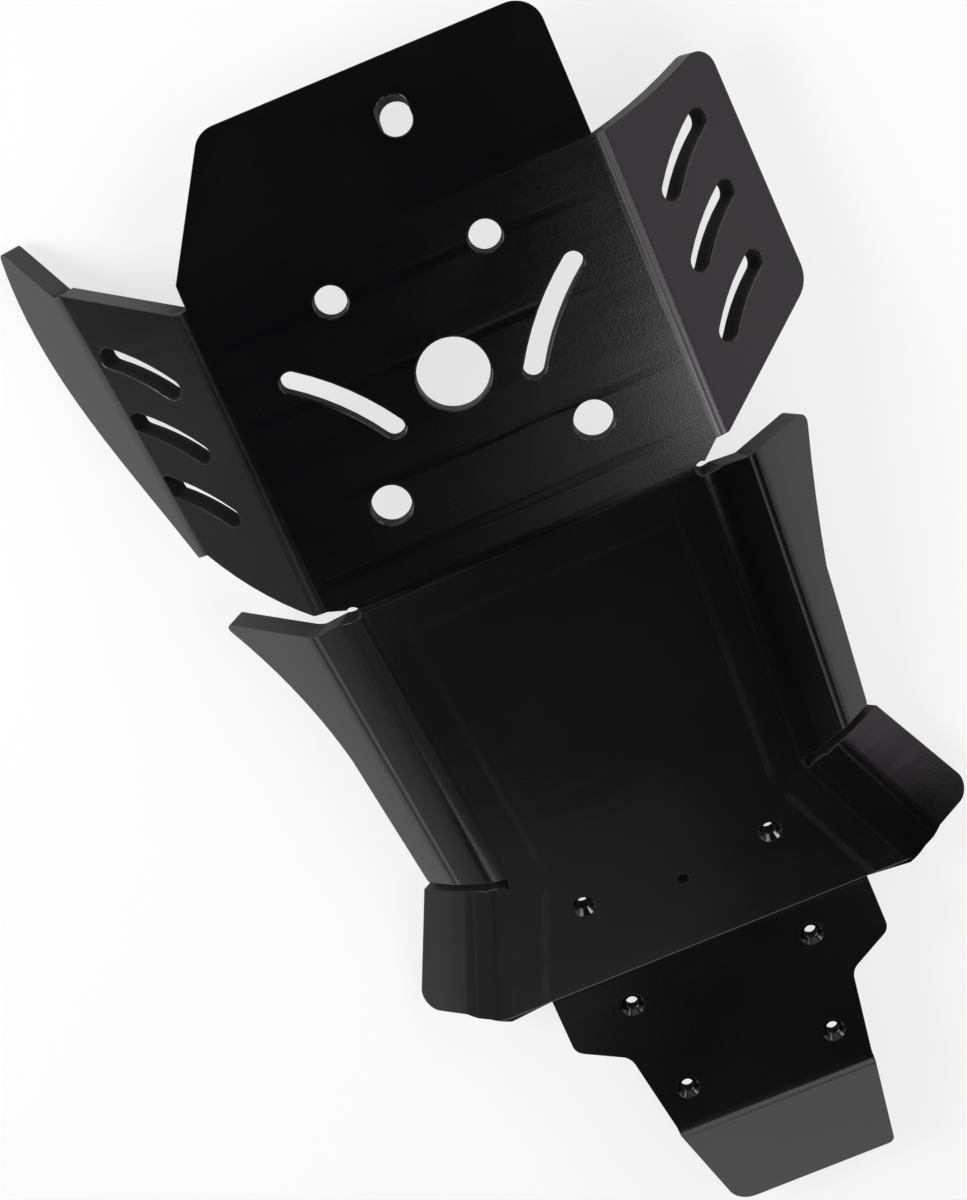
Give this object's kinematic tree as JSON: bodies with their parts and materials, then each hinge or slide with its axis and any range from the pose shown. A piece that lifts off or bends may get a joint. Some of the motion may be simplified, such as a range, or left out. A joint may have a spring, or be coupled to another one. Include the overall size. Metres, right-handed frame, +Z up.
{
  "type": "motorcycle skid plate",
  "caption": "One-piece folded plastic skid plate that wraps under a motorcycle engine, with slotted side wings, rolled flanges and a rear linkage guard.",
  "frame": {"origin": "middle of the bounding box on the surface the plate lies on, outer side up", "axes": "+Y to the front of the bike along the plate, +Z up out of the outer side, +X to the right as seen from above with the front ahead"},
  "size_m": [0.3452, 0.628, 0.0795],
  "materials": {
    "sheet": "black polyethylene, satin with a fine grain"
  },
  "bodies": {
    "root": {"skid_plate": "sheet"}
  },
  "joints": []
}
